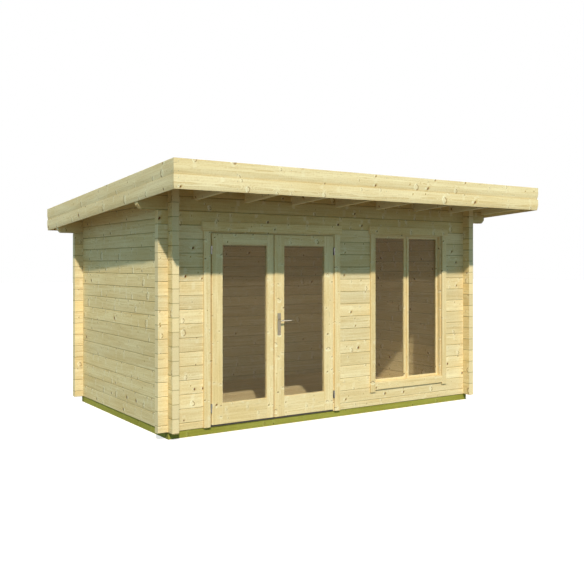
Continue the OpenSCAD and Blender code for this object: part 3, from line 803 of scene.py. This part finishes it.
def makeRoofDeck():
    bm = bmesh.new()
    place, length, halfWide = roofFrame("roof_deck")
    thick = deckLook["roofThick"]
    count = round(length * math.cos(slope) / deckLook["roofBoard"])
    wide = length / count
    for i in range(count):
        play = deckLook["edgePlay"] if i in (0, count - 1) else 0.0
        middle = Matrix.Translation((0.0, (i + 0.5) * wide, -thick / 2))
        addBoard(bm, (halfWide * 2, wide - play, thick), deckLook["joint"], place @ middle)
    finishPiece(bm, "roofDeckBoards", "root", deckShadeWood, ["roof_deck"])


makeFloor()
makeRoofDeck()
print("stage: floor and roof boards")


# roof felt in lapped strips, turned up over fillets behind the fascias

feltLook = {"strips": 4, "lap": 0.075, "thick": 0.0022, "sink": 0.004, "wave": 0.0005, "waves": 46,
            "waveFrom": -0.0025, "waveEdge": 0.01, "fillet": 0.036, "upstand": 0.042, "foot": 0.003,
            "lip": 0.004, "ridgeEase": 0.0015}


def makeRoofFelt():
    look = feltLook
    place, length, halfWide = roofFrame("roof_cover")
    bm = bmesh.new()
    wide = length / look["strips"]
    thick = look["thick"]
    for i in range(look["strips"]):
        last = i == look["strips"] - 1
        deep = wide + (0.0 if last else look["lap"])
        middle = i * wide + deep / 2
        part = newBlock((halfWide * 2, deep, thick))
        bmesh.ops.translate(part, vec=(0.0, middle, thick / 2 - look["sink"]), verts=part.verts)
        for vert in part.verts:
            if vert.co.y > middle and not last:
                vert.co.z += thick
        longEdges = [e for e in part.edges if abs(e.verts[0].co.x - e.verts[1].co.x) > halfWide]
        bmesh.ops.subdivide_edges(part, edges=longEdges, cuts=look["waves"])
        for vert in part.verts:
            if abs(vert.co.x) < halfWide - look["waveEdge"] and vert.co.z > look["waveFrom"]:
                vert.co.z += rng.uniform(0.0, look["wave"])
        addShape(bm, part, place)
    tall = look["upstand"]
    base = look["fillet"]
    left = Matrix.Translation((-halfWide, length / 2, 0.0))
    right = Matrix.Translation((halfWide, length / 2, 0.0)) @ Matrix.Rotation(math.pi, 4, "Z")
    front = Matrix.Rotation(math.radians(90), 4, "Z")
    for run, spot in ((length, left), (length, right), (halfWide * 2, front)):
        part = newBlock((base, run, tall + look["foot"]))
        bmesh.ops.translate(part, vec=(base / 2, 0.0, (tall - look["foot"]) / 2), verts=part.verts)
        for vert in part.verts:
            if vert.co.z > 0 and vert.co.x > base / 2:
                vert.co.x = look["lip"]
        ridge = [e for e in part.edges if all(v.co.z > 0 for v in e.verts)]
        easeEdges(part, ridge, look["ridgeEase"])
        addShape(bm, part, place @ spot)
    bmesh.ops.recalc_face_normals(bm, faces=bm.faces)
    finishPiece(bm, "roofFelt", "root", roofFelt(), ["roof_cover"])


makeRoofFelt()
print("stage: roof felt")


# door handle

handleLook = {
    "plateThick": 0.004, "plateCorner": 0.006, "plateEase": 0.0012,
    "keyDrop": 0.110,                                      # lever axis down to the key hole
    "keyRing": {"radius": 0.008, "length": 0.0036, "out": 0.0017, "sides": 20},
    "collar": {"radius": 0.0115, "length": 0.002, "out": 0.001, "sides": 28},
    "screw": {"radius": 0.0036, "length": 0.0016, "out": 0.0007, "sides": 14},
    "keyHole": {"radius": 0.0021, "length": 0.0008, "out": 0.0034, "sides": 12},
    "screwInset": 0.016, "keyHoleUp": 0.003, "slitDown": 0.002, "slit": (0.0019, 0.0008, 0.009),
    "slitEase": 0.0002, "spindle": 0.006, "spindleSides": 24, "grip": 0.008, "gripFlat": 0.86,
}
alongX = Matrix.Rotation(math.radians(90), 4, "Y")
alongY = Matrix.Rotation(math.radians(90), 4, "X")


def addRod(bm, radius, length, place, sides):
    part = bmesh.new()
    bmesh.ops.create_cone(part, cap_ends=True, segments=sides, radius1=radius, radius2=radius, depth=length)
    rims = [e for e in part.edges if abs(e.verts[0].co.z - e.verts[1].co.z) < 1e-6]
    easeEdges(part, rims, min(radius, length) * 0.15)
    addShape(bm, part, place)


def addButton(bm, button, x, faceY, outward, z):  # a short rod standing out from a plate
    spot = Matrix.Translation((x, faceY + outward * button["out"], z))
    addRod(bm, button["radius"], button["length"], spot @ alongY, button["sides"])


def makePlates():
    look = handleLook
    low, high = nodeSpan("handle_plates")
    leafLow, leafHigh = nodeSpan("right_leaf")
    leverLow, leverHigh = nodeSpan("lever")
    leverZ = (leverLow.z + leverHigh.z) / 2
    keyZ = leverZ - look["keyDrop"]
    middle = (low.x + high.x) / 2
    thick = look["plateThick"]
    plates = bmesh.new()
    slots = bmesh.new()
    for faceY, outward in ((leafLow.y, -1), (leafHigh.y, 1)):
        part = newBlock((high.x - low.x, thick, high.z - low.z))
        corners = [e for e in part.edges if abs(e.verts[0].co.y - e.verts[1].co.y) > thick / 2]
        easeEdges(part, corners, look["plateCorner"], 5)
        rim = [e for e in part.edges if all(v.co.y * outward > 0 for v in e.verts)]
        easeEdges(part, rim, look["plateEase"])
        plateY = faceY + outward * thick / 2
        addShape(plates, part, Matrix.Translation((middle, plateY, (low.z + high.z) / 2)))
        front = faceY + outward * thick
        addButton(plates, look["keyRing"], middle, front, outward, keyZ)
        addButton(plates, look["collar"], middle, front, outward, leverZ)
        for z in (low.z + look["screwInset"], high.z - look["screwInset"]):
            addButton(plates, look["screw"], middle, front, outward, z)
        # painted shade for the key hole: a black disc and a black slit
        addButton(slots, look["keyHole"], middle, front, outward, keyZ + look["keyHoleUp"])
        slit = newBlock(look["slit"])
        easeEdges(slit, slit.edges[:], look["slitEase"], 1)
        slitY = front + outward * look["keyHole"]["out"]
        addShape(slots, slit, Matrix.Translation((middle, slitY, keyZ - look["slitDown"])))
    finishPiece(plates, "handlePlates", "right_door", handleSteel, ["handle_plates"])
    finishPiece(slots, "keySlots", "right_door", keyHoleShade)


def makeLever():
    bm = bmesh.new()
    look = handleLook
    low, high = nodeSpan("lever")
    plateLow, plateHigh = nodeSpan("handle_plates")
    axisX = (plateLow.x + plateHigh.x) / 2
    axisZ = (low.z + high.z) / 2
    grip = look["grip"]
    spindle = Matrix.Translation((axisX, (low.y + high.y) / 2, axisZ)) @ alongY
    addRod(bm, look["spindle"], high.y - low.y - 2 * grip, spindle, look["spindleSides"])
    for gripY in (low.y + grip, high.y - grip):
        part = bmesh.new()
        bmesh.ops.create_uvsphere(part, u_segments=20, v_segments=14, radius=grip)
        bmesh.ops.rotate(part, cent=(0, 0, 0), matrix=alongX.to_3x3(), verts=part.verts)
        length = high.x - axisX - grip
        for vert in part.verts:
            if vert.co.x > 0.0001:
                vert.co.x += length
                vert.co.z *= look["gripFlat"]
        bmesh.ops.subdivide_edges(part, edges=[e for e in part.edges if e.calc_length() > 0.05], cuts=6)
        for face in part.faces:
            face.smooth = True
        addShape(bm, part, Matrix.Translation((axisX, gripY, axisZ)))
    finishPiece(bm, "doorLever", "door_lever", leverLitSteel, ["lever"])


makePlates()
makeLever()
print("stage: door handle")


# nail heads along the fascias and casings

nailLook = {"fasciaHead": 0.0025, "fasciaSides": 10, "casingHead": 0.0018, "casingSides": 8, "length": 0.002,
            "proud": 0.0005, "edge": 0.028, "cornerKeep": 0.045, "sideEnd": 0.05, "sideGaps": 6,
            "casingStep": 0.30, "casingEnd": 0.04, "casingEdge": 0.016, "casingInner": 0.051,
            "lintelEdge": 0.018, "roundBack": 0.010, "roundHigh": 0.070}
nailSink = nailLook["length"] / 2 - nailLook["proud"]


def fasciaInset(level):  # how far the board's face lies back at a height above the fascia's lower edge
    over = level % roofSizes["fasciaLower"] if level < 2 * roofSizes["fasciaLower"] else level
    return nailLook["roundBack"] * max(0.0, 1 - over / nailLook["roundHigh"]) ** 2


def spread(low, high, end, gaps):  # even places from end to end
    return [low + end + i * (high - low - 2 * end) / gaps for i in range(gaps + 1)]


def casingPlaces(low, high):
    return spread(low, high, nailLook["casingEnd"], round((high - low) / nailLook["casingStep"]))


def addNail(bm, place, turn, kind):
    addRod(bm, nailLook[kind + "Head"], nailLook["length"], Matrix.Translation(place) @ turn,
           nailLook[kind + "Sides"])


def nailFascias(bm):
    low, high = nodeSpan("fascia_front")
    tall = high.z - low.z
    lower = roofSizes["fasciaLower"]
    edge = nailLook["edge"]
    levels = (edge, lower - edge, lower + edge, tall - edge)
    for i in range(roofSizes["rafters"]):
        x = roofSizes["rafterLeft"] + roofSizes["rafterHalf"] + i * roofSizes["rafterStep"]
        x = max(min(x, high.x - nailLook["cornerKeep"]), low.x + nailLook["cornerKeep"])
        for level in levels:
            addNail(bm, (x, low.y + fasciaInset(level) + nailSink, low.z + level), alongY, "fascia")
    low, high = nodeSpan("fascia_left")
    for face, inward in ((low.x, 1), (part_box("fascia_right")[1][0], -1)):
        for y in spread(low.y, high.y, nailLook["sideEnd"], nailLook["sideGaps"]):
            bottom = high.z - tall - (y - low.y) * fall
            for level in levels:
                x = face + inward * (fasciaInset(level) + nailSink)
                addNail(bm, (x, y, bottom + level), alongX, "fascia")


def nailCasings(bm):
    edge = nailLook["casingEdge"]
    inner = nailLook["casingInner"]
    for node, insets in (("door_casing_left", (edge,)), ("door_casing_right", (edge,)),
                         ("window_casings", (edge, inner))):
        low, high = nodeSpan(node)
        for z in casingPlaces(low.z, high.z):
            for inset in insets:
                addNail(bm, (low.x + inset, low.y + nailSink, z), alongY, "casing")
                addNail(bm, (high.x - inset, low.y + nailSink, z), alongY, "casing")
    for node in ("door_lintel", "window_lintel", "window_apron"):
        low, high = nodeSpan(node)
        for x in casingPlaces(low.x, high.x):
            for z in (low.z + nailLook["lintelEdge"], high.z - nailLook["lintelEdge"]):
                addNail(bm, (x, low.y + nailSink, z), alongY, "casing")


def makeNails():
    bm = bmesh.new()
    nailFascias(bm)
    nailCasings(bm)
    finishPiece(bm, "nailHeads", "root", hingeSteel)


makeNails()
print("stage: nail heads")


# stage, light and camera

floorLook = {"size": 60.0, "unseen": (0.138, 0.133, 0.11, 1.0), "seen": (0.69, 0.57, 0.49, 1.0),
             "glow": (0.64, 0.64, 0.64, 1.0), "noGlow": (0.0, 0.0, 0.0, 1.0), "roughness": 0.9,
             "specular": 0.1}


def seenRays(kit):  # 1 for rays that show the floor or sky itself, also in glass and metal
    path = kit.add("ShaderNodeLightPath", None, None, "Is Camera Ray")
    glossy, through = kit.pull(path, "Is Glossy Ray", "Is Transmission Ray")
    return (path + glossy + through).op("MINIMUM", 1.0)


def makeFloorMaterial():
    kit = materialKit("pale floor")
    seen = seenRays(kit)
    colour = kit.blend(seen, floorLook["unseen"], floorLook["seen"])
    glow = kit.blend(seen, floorLook["noGlow"], floorLook["glow"])
    return kit.surface({"Base Color": colour, "Roughness": floorLook["roughness"], "Emission Color": glow,
                        "Emission Strength": 1.0, "Specular IOR Level": floorLook["specular"]})


def makeStage():
    bm = bmesh.new()
    bmesh.ops.create_grid(bm, x_segments=1, y_segments=1, size=floorLook["size"])
    mesh = bpy.data.meshes.new("paleFloor")
    bm.to_mesh(mesh)
    bm.free()
    ground = bpy.data.objects.new("paleFloor", mesh)
    ground.data.materials.append(makeFloorMaterial())
    bpy.context.scene.collection.objects.link(ground)


lightLook = {
    "keySun": {"from": (-0.979, -1.955, 1.804), "strength": 3.5, "angle": 1.6, "colour": (1.0, 0.985, 0.95)},
    # keeps the rear walls readable from behind
    "backFill": {"from": (0.75, 1.6, 1.1), "strength": 1.9, "angle": 24.0, "colour": (1.0, 1.0, 1.0)},
    "sky": (0.95, 1.80, 2.32, 1.0),
    "skyBand": (0.05, 0.6),         # bright at the horizon, dim overhead
    "skyStrength": (0.45, 0.14),
    "backdrop": (1.0, 1.0, 1.0, 1.0),
}


def addSun(name):
    look = lightLook[name]
    lamp = bpy.data.lights.new(name, "SUN")
    lamp.energy = look["strength"]
    lamp.angle = math.radians(look["angle"])
    lamp.color = look["colour"]
    sun = bpy.data.objects.new(name, lamp)
    sun.rotation_euler = Vector(look["from"]).to_track_quat("Z", "Y").to_euler()
    bpy.context.scene.collection.objects.link(sun)


def makeSky():
    world = bpy.data.worlds.new("softSky")
    bpy.context.scene.world = world
    kit = Kit(world)
    height = kit.split(kit.add("ShaderNodeTexCoord", None, None, "Generated"))[2]
    level = kit.add("ShaderNodeMapRange", None, {
        "Value": height, "From Min": lightLook["skyBand"][0], "From Max": lightLook["skyBand"][1],
        "To Min": lightLook["skyStrength"][0], "To Max": lightLook["skyStrength"][1]})
    soft = kit.add("ShaderNodeBackground", None, {"Color": lightLook["sky"], "Strength": level})
    white = kit.add("ShaderNodeBackground", None, {"Color": lightLook["backdrop"]})
    mix = kit.add("ShaderNodeMixShader", None, {0: seenRays(kit), 1: soft, 2: white})
    kit.add("ShaderNodeOutputWorld", None, {"Surface": mix})


cameraLook = {"place": (-5.0570, -7.6940, 1.6543), "turn": -0.59027, "lens": 47.496, "sensor": 36.0,
              "shiftX": -0.003175, "shiftY": -0.046655}


def makeCamera():
    data = bpy.data.cameras.new("photoCamera")
    data.sensor_width = cameraLook["sensor"]
    data.sensor_fit = "HORIZONTAL"
    data.lens = cameraLook["lens"]
    data.shift_x = cameraLook["shiftX"]
    data.shift_y = cameraLook["shiftY"]
    camera = bpy.data.objects.new("photoCamera", data)
    camera.location = cameraLook["place"]
    camera.rotation_euler = (math.radians(90), 0.0, cameraLook["turn"])
    bpy.context.scene.collection.objects.link(camera)
    bpy.context.scene.camera = camera


makeStage()
addSun("keySun")
addSun("backFill")
makeSky()
makeCamera()
bpy.context.scene.view_settings.view_transform = "Standard"
print("stage: light and camera")
